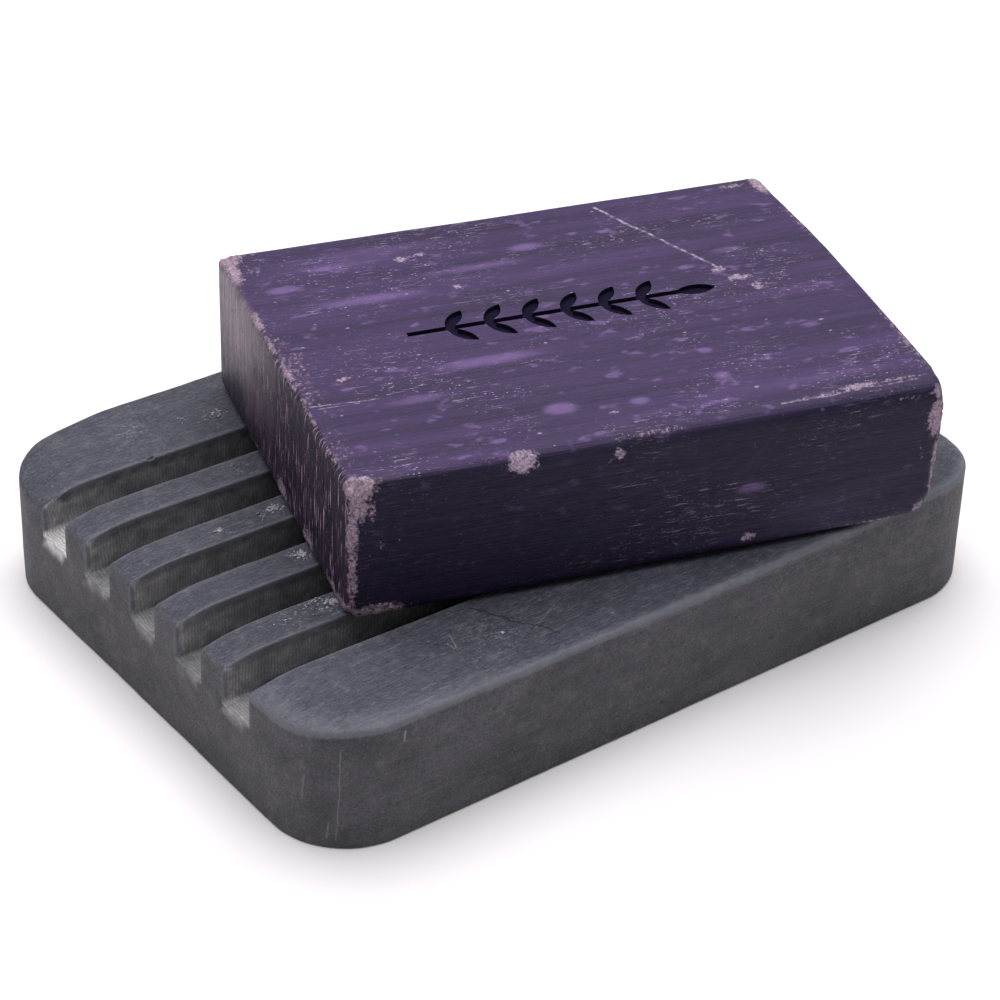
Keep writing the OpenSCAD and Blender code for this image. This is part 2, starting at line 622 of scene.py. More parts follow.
@dataclass(frozen=True)
class SlateFinish:
    """Honed dark grey slate: saw marks on its sides, blue dust on top, chalk in its grooves."""

    effects: Effects
    dark: Colour = (0.029, 0.029, 0.036, 1.0)
    light: Colour = (0.075, 0.074, 0.088, 1.0)
    pit: Colour = (0.014, 0.014, 0.017, 1.0)
    blue_dust: Colour = (0.080, 0.081, 0.118, 1.0)
    blue_dark: Colour = (0.022, 0.023, 0.034, 1.0)
    # pale wear colour, also laid as a painted highlight along the top's front margin
    worn: Colour = (0.175, 0.177, 0.212, 1.0)
    chalk: Colour = (0.72, 0.71, 0.71, 1.0)
    scratch: Colour = (0.34, 0.34, 0.35, 1.0)
    crumbs: Colour = (0.50, 0.45, 0.54, 1.0)
    roughness: float = 0.60
    specular: float = 0.30
    top_lines: tuple[Line, ...] = (
        Line((-31.7, -32.1), (-32.7, -35.0), 0.09, 0.3, 0.3, 0.55),
        Line((-33.2, -33.4), (-33.0, -35.1), 0.07, 0.3, 0.3, 0.5),
        Line((-21.0, -37.2), (-15.4, -34.2), 0.12, 0.5, 0.8, 0.28),
        Line((-33.1, 35.8), (-32.5, 34.7), 0.10, 0.3, 0.1, 0.5),
        Line((-27.0, 35.0), (-27.3, 33.0), 0.14, 0.5, 0.3, 0.5),
        Line((-43.5, 36.6), (-39.5, 35.3), 0.20, 0.9, 0.9, 0.35),
        Line((-52.0, 32.0), (-45.0, 30.4), 0.12, 0.6, 0.9, 0.22),
        Line((-47.0, -30.6), (-36.0, -29.8), 0.10, 0.5, 0.9, 0.25),
    )
    cracks: tuple[Line, ...] = (
        Line((-25.8, -28.2), (-18.6, -39.8), 0.16, 3.4, 0.25, 1.0),
        Line((-47.0, 32.0), (-40.6, 28.4), 0.10, 1.4, 0.5, 0.45),
    )
    upright_lines: tuple[Line, ...] = (
        Line((17.0, -56.2), (4.0, -56.5), 0.07, 0.6, 0.45, 0.38),
        Line((12.0, -59.4), (7.4, -59.6), 0.07, 0.3, 0.6, 0.30),
        Line((4.6, -57.4), (1.6, -57.6), 0.10, 0.5, 0.6, 0.40),
        Line((3.6, -56.6), (1.4, -56.7), 0.08, 0.5, 0.5, 0.35),
        Line((18.2, -47.7), (16.3, -47.8), 0.16, 0.3, 0.2, 0.55),
    )

    def material(self) -> Material:
        """Builds the slate.

        Returns:
            The material.
        """
        material, board, shader, where = new_material("honed_slate", self.specular)
        mottle, streaks, flecks = self.effects.mottle, self.effects.streaks, self.effects.flecks
        x, y, z = board.split(where)
        top = board.times(board.upward(0.60), board.step(z, 0.0150, 0.0165))

        clouds = board.place(mottle, board.stretch(where, (0.45, 1.0, 1.0)), Per_Metre=170.0, Spread=2.2)
        grain = board.place(mottle, where, Per_Metre=3200.0, Spread=3.0)
        saw = board.place(streaks, where, Along=55.0, Across=2900.0, Fewest=0.50, Most=0.80)
        side = board.blend(clouds, self.dark, self.light)
        side = board.blend(board.step(grain, 0.50, 0.95, 0.0, 0.60), side, self.dark)
        side = board.blend(board.step(grain, 0.40, 0.05, 0.0, 0.22), side, self.worn)
        side = board.tint(side, self.worn, saw, 0.22)

        brushed = board.place(streaks, where, Along=190.0, Across=2600.0, Fewest=0.32, Most=0.74)
        rubbed = board.place(streaks, where, Along=700.0, Across=4200.0, Fewest=0.52, Most=0.70)
        dusty = board.blend(board.maths("MULTIPLY_ADD", brushed, 0.55, 0.40), self.blue_dark, self.blue_dust)
        dusty = board.tint(dusty, self.blue_dark, clouds, 0.50)
        dusty = board.blend(board.step(grain, 0.45, 0.90, 0.0, 0.75), dusty, self.blue_dark)
        dusty = board.tint(dusty, self.worn, rubbed, 0.42)
        colour = board.blend(top, side, dusty)

        pits = board.place(flecks, where, Per_Metre=700.0, Size=0.30, Kept=0.16, Soft=0.1)
        colour = board.tint(colour, self.pit, pits, 0.5)
        sparks = board.place(flecks, where, Per_Metre=620.0, Size=0.18, Kept=0.10, Soft=0.08)
        colour = board.tint(colour, self.scratch, sparks, 0.20)
        # Pale front margin: partly wear, partly a painted highlight where the rolled edge catches the light.
        worn = board.place(self.effects.ragged, board.stretch(where, (0.25, 1.0, 1.0)),
                           Soft=board.stored("worn"), Per_Metre=1500.0, Tear=1.1, Sharp=0.40)
        colour = board.tint(colour, self.worn, worn, 0.54)
        colour = self._add_chalk(board, where, colour, grain)
        for lines, ink in ((self.top_lines, self.scratch), (self.cracks, self.pit)):
            for line in lines:
                colour = line.draw(board, self.effects, where, colour, ink, top)
        front = board.maths("LESS_THAN", y, -0.030)
        upright = board.join(z, x)
        for line in self.upright_lines:
            colour = line.draw(board, self.effects, upright, colour, self.scratch, front)
        dust = board.place(flecks, where, Per_Metre=2600.0, Size=0.75, Kept=0.50, Soft=0.1)
        colour = board.tint(colour, self.crumbs, board.times(dust, board.stored("dust")), 0.75)
        board.feed(shader.inputs["Base Color"], colour)
        board.feed(shader.inputs["Roughness"],
                   board.maths("MULTIPLY_ADD", grain, 0.16, self.roughness - 0.08))

        height = board.maths("MULTIPLY_ADD", saw, 0.6, grain)
        height = board.maths("MULTIPLY_ADD", board.times(brushed, top), 0.7, height)
        height = board.maths("MULTIPLY_ADD", pits, -1.2, height)
        board.bump(shader, height, 0.45, 0.00012)
        return material

    def _add_chalk(self, board: Board, where: Socket, colour: Socket, grain: Socket) -> Socket:
        """Lays chalk dust, scored across, where it is stored, and returns the colour."""
        scoring = board.add("TexWave", wave_type="BANDS", bands_direction="X")
        board.feed(scoring.inputs["Vector"], where)
        for key, value in (("Scale", 620.0), ("Distortion", 9.0), ("Detail", 3.0), ("Detail Scale", 0.6)):
            scoring.inputs[key].default_value = value
        lines = board.step(scoring.outputs["Fac"], 0.1, 0.9, 0.68, 1.0)
        chalk = board.place(self.effects.ragged, where, Soft=board.stored("chalk"), Per_Metre=420.0,
                            Tear=0.8, Sharp=0.55)
        lying = board.times(chalk, lines)
        return board.tint(colour, self.chalk, lying, board.step(grain, 0.0, 1.0, 0.6, 0.95))


@dataclass(frozen=True)
class SoapFinish:
    """Waxy deep violet soap with cut streaks, soft marbling, specks and crumbly chips.

    Attributes:
        effects: The shared node groups.
        turn: How far the bar is turned about Z, in radians.
        middle: Middle of the bar's base, in metres.
    """

    effects: Effects
    turn: float
    middle: tuple[float, float, float]
    dark: Colour = (0.019, 0.012, 0.042, 1.0)
    violet: Colour = (0.054, 0.028, 0.100, 1.0)
    # dark colour of faces that don't face up: partly the sides' own unbloomed colour, partly painted shade
    skin_and_shade: Colour = (0.0055, 0.004, 0.0175, 1.0)
    bloom: Colour = (0.094, 0.064, 0.138, 1.0)
    marble: Colour = (0.165, 0.098, 0.262, 1.0)
    speck: Colour = (0.50, 0.44, 0.58, 1.0)
    graze: Colour = (0.480, 0.340, 0.450, 1.0)
    end_grain: Colour = (0.040, 0.019, 0.045, 1.0)
    # painted sheen: pale colour for the far upper part of the left end, standing in for the pale floor
    # reflected there
    end_painted_sheen: Colour = (0.310, 0.240, 0.300, 1.0)
    chip: Colour = (0.500, 0.400, 0.520, 1.0)
    chip_warm: Colour = (0.390, 0.275, 0.290, 1.0)
    chip_dark: Colour = (0.110, 0.066, 0.130, 1.0)
    # painted shade: near-black colour laid into the pressed sprig's recess
    pressed: Colour = (0.003, 0.001, 0.014, 1.0)
    roughness: float = 0.42
    specular: float = 0.20
    lines: tuple[Line, ...] = (
        Line((15.2, 30.2), (27.0, 6.4), 0.20, 1.8, 0.9, 0.72),
        Line((15.4, 30.2), (27.2, 6.4), 0.10, 1.0, 0.9, 0.55),
        Line((-42.9, -12.1), (-33.0, -12.7), 0.13, 0.9, 0.85, 0.6),
        Line((-42.0, -12.9), (-36.0, -13.0), 0.10, 0.6, 0.9, 0.5),
        Line((20.0, -30.6), (41.5, -30.2), 0.16, 1.4, 0.95, 0.5),
        Line((-20.0, 8.9), (6.0, 8.6), 0.09, 0.7, 0.95, 0.30),
    )

    def material(self) -> Material:
        """Builds the soap.

        Returns:
            The material.
        """
        material, board, shader, where = new_material("violet_soap", self.specular)
        shift = -(Matrix.Rotation(-self.turn, 3, "Z") @ Vector(self.middle))
        along = board.stretch(where, (1.0, 1.0, 1.0), -self.turn, tuple(shift))
        upward = board.upward(0.5)

        streaks = self.effects.streaks
        broad = board.place(streaks, along, Along=14.0, Across=260.0, Fewest=0.30, Most=0.72)
        streak = board.place(streaks, along, Along=32.0, Across=1300.0, Fewest=0.30, Most=0.74)
        fine = board.place(streaks, along, Along=110.0, Across=4200.0, Fewest=0.44, Most=0.80)
        share = board.maths("MULTIPLY_ADD", broad, 0.62, board.times(streak, 0.42))
        colour = board.blend(share, self.dark, self.violet)
        colour = board.tint(colour, self.bloom, fine, board.step(upward, 0.0, 1.0, 0.08, 0.30))
        # Faces that don't face up are darkened: partly their own unbloomed colour, partly painted shade on
        # the sides.
        colour = board.blend(board.step(upward, 0.0, 1.0, 0.88, 0.0), colour, self.skin_and_shade)
        colour = self._add_marbling(board, along, colour, upward)
        colour = self._add_specks(board, along, colour, upward)
        colour = self._add_end_grain(board, along, colour)
        for line in self.lines:
            colour = line.draw(board, self.effects, along, colour, self.speck, upward)
        chipped, crumbly, crumbs = self._chips(board, where, along)
        colour = board.blend(chipped, colour, crumbly)
        # Painted shade: the sprig's recess is painted near black.
        pressed = board.step(board.stored("pressed"), 0.12, 0.35)
        board.feed(shader.inputs["Base Color"], board.blend(pressed, colour, self.pressed))

        rough = board.maths("MULTIPLY_ADD", streak, 0.16, self.roughness)
        for mask in (chipped, pressed):
            rough = board.maths("MULTIPLY_ADD", mask, 0.5, rough, clamp=True)
        board.feed(shader.inputs["Roughness"], rough)
        height = board.maths("MULTIPLY_ADD", streak, 0.5, fine)
        height = board.maths("MULTIPLY_ADD", board.times(chipped, crumbs), 3.0, height)
        board.bump(shader, height, 0.5, 0.00014)
        return material

    def _add_marbling(self, board: Board, along: Socket, colour: Socket, upward: Socket) -> Socket:
        """Lays soft brighter violet veins and spots, and returns the colour."""
        veins = board.step(board.clouds(board.stretch(along, (0.16, 1.0, 1.0)), 120.0, 3.0, 0.55), 0.56, 0.80)
        colour = board.tint(colour, self.marble, veins, board.step(upward, 0.0, 1.0, 0.14, 0.42))
        spots = board.step(board.clouds(board.stretch(along, (0.55, 1.0, 1.0)), 520.0, 2.0, 0.5), 0.60, 0.76)
        colour = board.tint(colour, self.marble, spots, board.step(upward, 0.0, 1.0, 0.15, 0.62))
        placed = board.place(self.effects.ragged, board.stretch(along, (0.4, 1.0, 1.0)),
                             Soft=board.stored("marble"), Per_Metre=700.0, Tear=0.75, Sharp=0.50)
        return board.tint(colour, self.marble, placed, 0.72)

    def _add_specks(self, board: Board, along: Socket, colour: Socket, upward: Socket) -> Socket:
        """Scatters pale specks and short dashes, thicker in places, and returns the colour."""
        flecks = self.effects.flecks
        patchy = board.step(board.clouds(board.stretch(along, (0.6, 1.0, 1.0)), 110.0, 2.0, 0.5), 0.42, 0.66)
        specks = board.place(flecks, board.stretch(along, (0.7, 1.0, 1.0)), Per_Metre=3700.0,
                             Size=0.50, Kept=0.24, Soft=0.18)
        large = board.place(flecks, board.stretch(along, (0.6, 1.0, 1.0)), Per_Metre=900.0,
                            Size=0.24, Kept=0.12, Soft=0.10)
        share = board.maths("MAXIMUM", board.times(specks, patchy), board.times(large, 0.8))
        colour = board.tint(colour, self.speck, share, board.step(upward, 0.0, 1.0, 0.12, 0.52))
        dashes = board.place(self.effects.streaks, along, Along=330.0, Across=4800.0, Fewest=0.60, Most=0.70)
        share = board.times(dashes, board.step(patchy, 0.0, 1.0, 0.04, 0.50))
        fewer = board.step(board.split(along)[0], -0.036, 0.010, 0.15, 0.6)
        return board.tint(colour, self.speck, share, board.maths("MAXIMUM", upward, fewer))

    def _add_end_grain(self, board: Board, along: Socket, colour: Socket) -> Socket:
        """Draws the upright drag marks on the left end with a painted sheen on its far upper part, and
        returns the colour.
        """
        _, y, z = board.split(along)
        upright = board.join(z, y)
        streaks = self.effects.streaks
        drag = board.place(streaks, upright, Along=55.0, Across=1500.0, Fewest=0.40, Most=0.66)
        dashes = board.place(streaks, upright, Along=150.0, Across=2600.0, Fewest=0.59, Most=0.65)
        dragged = board.blend(drag, self.skin_and_shade, self.end_grain)
        # Painted sheen: the far, upper part of the left end is lightened, broken up by clouds, as the
        # reflection of the pale floor behind.
        painted_sheen_zone = board.times(board.step(y, -0.004, 0.026), board.step(z, 0.001, 0.017))
        painted_sheen_zone = board.times(painted_sheen_zone, board.step(drag, 0.0, 1.0, 0.55, 0.95))
        breaks = board.clouds(board.stretch(along, (1.0, 1.0, 0.5)), 170.0)
        dragged = board.tint(dragged, self.end_painted_sheen, painted_sheen_zone, board.step(breaks, 0.34, 0.58, 0.35, 1.05))
        dragged = board.tint(dragged, self.graze, dashes, board.step(y, 0.024, -0.008, 0.15, 1.0))
        return board.blend(board.stored("grazed"), colour, dragged)

    def _chips(self, board: Board, where: Socket, along: Socket) -> tuple[Socket, Socket, Socket]:
        """Gives the chips' mask, their colour and their crumbly texture."""
        chipped = board.place(self.effects.ragged, where, Soft=board.stored("chipped"), Per_Metre=1500.0,
                              Tear=2.3, Sharp=0.22)
        crumbs = board.place(self.effects.mottle, where, Per_Metre=2600.0, Spread=3.4)
        patches = board.place(self.effects.mottle, where, Per_Metre=520.0, Spread=2.2)
        warmer = board.step(board.maths("ABSOLUTE", board.split(along)[0]), 0.024, 0.040, 0.15, 1.0)
        crumbly = board.tint(self.chip, self.chip_warm, patches, warmer)
        return chipped, board.tint(crumbly, self.chip_dark, crumbs, 0.82), crumbs


@dataclass(frozen=True)
class CrumbFinish:
    """Dry broken soap, paler than the bar."""

    effects: Effects
    pale: Colour = (0.46, 0.43, 0.48, 1.0)
    lilac: Colour = (0.20, 0.17, 0.25, 1.0)
    roughness: float = 0.8

    def material(self) -> Material:
        """Builds the crumbs' finish and returns it."""
        material, board, shader, where = new_material("dry_soap_crumbs")
        mix = board.place(self.effects.mottle, where, Per_Metre=900.0, Spread=2.6)
        board.feed(shader.inputs["Base Color"], board.blend(mix, self.pale, self.lilac))
        shader.inputs["Roughness"].default_value = self.roughness
        board.bump(shader, mix, 0.4, 0.0001)
        return material


# ---------------------------------------------------------------------------- sub-parts


@dataclass
class StoneDish:
    """Block of slate with drainage grooves, in millimetres about the middle of its base."""

    effects: Effects
    corner_radius: float = 12.2
    base_bevel: float = 0.5
    top_bevel: float = 0.8
    front_wear: float = 0.5
    end_ease_length: float = 8.0
    end_ease_drop: float = 1.2
    hollow_length: float = 96.0
    hollow_depth: float = 0.6
    groove_count: int = 5
    groove_width: float = 6.3
    groove_pitch: float = 12.1
    groove_depth: float = 6.8
    groove_shift: float = 0.9
    groove_edge: float = 0.35
    loop_spacing: float = 1.25
    row_spacing: float = 1.3
    wall_clearance: float = 0.6
    far_corner_drop: float = 1.1
    sharp_angle: float = 38.0

    def __post_init__(self) -> None:
        """Takes the block's sizes from the frame."""
        low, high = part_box("stone_dish")
        self.length, self.width, self.height = (high - low) / MM
        self.floor_z = self.height - self.groove_depth

    def groove_middles(self) -> list[float]:
        """Places of the grooves across the dish, front to back."""
        half = (self.groove_count - 1) / 2
        return [self.groove_shift + (i - half) * self.groove_pitch for i in range(self.groove_count)]

    def top_drop(self, x: float) -> float:
        """How far the top lies below the dish's full height at x."""
        run = abs(x) - (self.length / 2 - self.end_ease_length)
        if run > 0:
            return self.end_ease_drop * (run / self.end_ease_length) ** 2
        share = x / (self.hollow_length / 2)
        return self.hollow_depth * max(1.0 - share * share, 0.0)

    def inset(self, point: Vector) -> float:
        """Distance from a point's place in plan to the dish's outline, inside being positive."""
        radius = self.corner_radius
        dx = abs(point.x) - (self.length / 2 - radius)
        dy = abs(point.y) - (self.width / 2 - radius)
        if dx > 0 and dy > 0:
            return radius - math.hypot(dx, dy)
        return radius - max(dx, dy)

    def build(self) -> Object:
        """Models the dish.

        Returns:
            The dish, riding on its body.
        """
        size = Vector((self.length, self.width, self.height))
        dish = Bench.block("slate_dish", size, Vector((0, 0, self.height / 2)))
        Bench.bevel(dish, self.corner_radius, 18, lambda a, b: abs(a.z - b.z) > 1)
        Bench.bevel(dish, self.top_bevel, 4, lambda a, b: min(a.z, b.z) > self.height - NEAR)
        Bench.bevel(dish, self.base_bevel, 2, lambda a, b: max(a.z, b.z) < NEAR)
        Bench.combine(dish, self._groove_cutters(), "DIFFERENCE")
        Bench.bevel(dish, self.groove_edge, 3, self._on_groove_rim)
        self._add_edge_loops(dish)
        self._rub_down(dish)
        Bench.push(dish, grain=14.0, reach=0.22)
        Bench.push(dish, grain=1.6, reach=0.10)
        Bench.keep_within(dish, 0.0, self.height)
        Bench.combine(dish, self._chips(), "DIFFERENCE")
        self._paint(dish)
        slate = SlateFinish(self.effects).material()
        Bench.hand_over(dish, Matrix.Scale(MM, 4), self.sharp_angle, slate, Body.DISH, Slot.STONE)
        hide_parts("stone_dish")
        return dish

    def _groove_cutters(self) -> list[Object]:
        """Bars that cut the grooves: one is made, and copied for the others."""
        size = Vector((self.length + 4, self.groove_width, self.groove_depth + 2))
        first, *others = self.groove_middles()
        cutters = [Bench.block("groove_cutter", size, Vector((0, first, self.floor_z + size.z / 2)))]
        for y in others:
            cutters.append(Bench.duplicate(cutters[0]))
            cutters[-1].data.transform(Matrix.Translation((0, y - first, 0)))
        return cutters

    def _wall_gap(self, y: float) -> float:
        """Distance across the dish from y to the nearest groove wall."""
        return min(abs(abs(y - middle) - self.groove_width / 2) for middle in self.groove_middles())

    def _on_groove_rim(self, a: Vector, b: Vector) -> bool:
        """Whether an edge is on a groove's rim: along its top, or round its open ends."""
        on_wall = abs(a.y - b.y) < NEAR and max(self._wall_gap(a.y), self._wall_gap(b.y)) < NEAR
        above_floor = max(a.z, b.z) > self.floor_z + NEAR
        on_end = min(abs(a.x), abs(b.x)) > self.length / 2 - NEAR
        floor_end = on_end and max(abs(a.z - self.floor_z), abs(b.z - self.floor_z)) < NEAR
        return (on_wall and above_floor) or floor_end

    def _add_edge_loops(self, dish: Object) -> None:
        """Slices the block finely enough to be rubbed down, roughened and painted."""
        count = int(self.length / 2 / self.loop_spacing)
        loops = [i * self.loop_spacing + 0.1 for i in range(-count, count + 1)]
        Bench.slice_along(dish, Axis.X, loops)
        count = int(self.width / self.row_spacing)
        rows = [1.0 - self.width / 2 + self.row_spacing * i for i in range(count)]
        rows = [y for y in rows if self._wall_gap(y) > self.wall_clearance]
        Bench.slice_along(dish, Axis.Y, rows)
        levels = [self.floor_z * share for share in (0.2, 0.4, 0.6, 0.8)]
        levels += [self.floor_z + self.groove_depth * share for share in (0.2, 0.45, 0.7)]
        Bench.slice_along(dish, Axis.Z, levels)

    def _rub_down(self, dish: Object) -> None:
        """Lowers the top to its hollow and its eased ends, and widens the worn front band."""
        top_zone = self.height - self.top_bevel - NEAR
        for vertex in dish.data.vertices:
            point = vertex.co
            inset = self.inset(point)
            if point.z > top_zone and inset < self.top_bevel + NEAR and point.y < 0:
                wear = self.front_wear * smooth(5.0, -35.0, point.x)
                point.z = self.height - (self.height - point.z) * (1.0 + wear / self.top_bevel)
            share = smooth(self.floor_z, self.height - 2.0, point.z)
            corner = smooth(18.0, 34.0, point.y) * smooth(-40.0, -52.0, point.x) * smooth(5.5, 0.0, inset)
            point.z -= (self.top_drop(point.x) + self.far_corner_drop * corner) * share

    def _chips(self) -> list[Object]:
        """Lumps that break small chips out of the grooves' edges."""
        far_wall = self.groove_middles()[-1] + self.groove_width / 2
        left = -self.length / 2
        places = ((left + 18.5, (0.9, 0.35, 0.5)), (left + 21.0, (0.5, 0.3, 0.4)))
        return [Bench.pebble("dish_chip", Vector((x, far_wall, self.height)), Vector(radii), 0.5, grain=0.8)
                for x, radii in places]

    def _paint(self, dish: Object) -> None:
        """Stores where the stone is worn or has a painted highlight, chalky or dusted with soap."""
        for name, value in (("worn", self._wear_and_highlight), ("chalk", self._chalk), ("dust", self._dust)):
            Bench.paint(dish, name, value)

    def _wear_and_highlight(self, point: Vector) -> float:
        """Share of pale stone at a point: along the top's front margin partly wear and partly a painted
        highlight where the rolled edge catches the light, lighter towards the left on the near land, and worn
        round the grooves' rims.
        """
        below = self.height - self.top_drop(point.x) - point.z
        inset = self.inset(point)
        on_top = smooth(1.4, 0.5, below)
        if point.y < -26.0:
            band = 1.5 + 2.8 * smooth(-16.0, -50.0, point.x)
            margin = 0.52 * smooth(band * 1.35, band * 0.45, inset) + 0.38 * smooth(0.9, 0.3, inset)
            # the near land is made lighter towards the left
            margin = max(margin, 0.20 * smooth(0.0, -40.0, point.x))
        else:
            margin = 0.40 * smooth(1.2, 0.2, inset)
        if point.z < self.floor_z + 0.3:
            return margin * on_top
        at_end = smooth(0.8, 0.2, self.length / 2 - abs(point.x))
        rim = 0.85 * smooth(0.55, 0.15, self._wall_gap(point.y)) * max(smooth(0.8, 0.2, below), at_end)
        return max(margin * on_top, rim)

    def _chalk(self, point: Vector) -> float:
        """Share of chalky dust at a point: the groove floors, most of all at their ends."""
        nearest = min(abs(point.y - middle) for middle in self.groove_middles())
        end = self.length / 2 - abs(point.x)
        if nearest > self.groove_width / 2 + 0.2 or point.z < self.floor_z - 0.45:
            return 0.0
        if point.z > self.floor_z + 0.45:
            return 0.38 if end > 0.4 and point.z < self.height - 1.2 else 0.0
        most = 0.26 + 0.10 * smooth(-10.0, -20.0, point.y) + 0.64 * smooth(14.0, 24.0, point.y)
        return 0.08 + most * smooth(8.5 + 5.0 * smooth(14.0, 24.0, point.y), 1.0, end)

    @staticmethod
    def _dust(point: Vector) -> float:
        """Share of fine soap dust at a point: round the crumbs beside the bar."""
        heaps = ((-35.0, 7.4, 2.3, 0.95), (-44.0, 6.8, 1.2, 0.8), (-38.4, -4.6, 2.2, 0.95),
                 (-41.4, -16.8, 3.0, 1.0), (-47.5, -16.4, 3.6, 0.40), (-29.0, 34.0, 3.5, 0.35),
                 (-33.0, 19.0, 3.0, 0.35), (-41.0, 36.0, 4.0, 0.30), (-27.0, -35.0, 9.0, 0.16))
        reach = 0.0
        for x, y, size, most in heaps:
            reach = max(reach, most * smooth(size, size * 0.15, math.hypot(point.x - x, point.y - y)))
        return reach if point.z > 17.5 else 0.0


@dataclass(frozen=True)
class Chip:
    """A place on the bar where pale soap shows, in the bar's own millimetres.

    Attributes:
        place: Middle of the chip, from the middle of the bar's base.
        reach: Half sizes along the bar, across it and up.
        cut: Whether the chip is broken out, and doesn't only mark the surface.
        strength: How pale its middle is. Above 1, the pale part is solid out to its rim.
    """

    place: tuple[float, float, float]
    reach: tuple[float, float, float]
    cut: bool = False
    strength: float = 1.0

    def is_near(self, point: Vector) -> bool:
        """Whether the chip could reach a point."""
        return all(abs(self.place[i] - point[i]) < 1.6 * self.reach[i] for i in range(3))

    def share(self, point: Vector) -> float:
        """Share of pale soap at a point."""
        gaps = [(point[i] - self.place[i]) / self.reach[i] for i in range(3)]
        distance = math.sqrt(sum(gap * gap for gap in gaps))
        return self.strength * smooth(1.6, 0.35, distance)


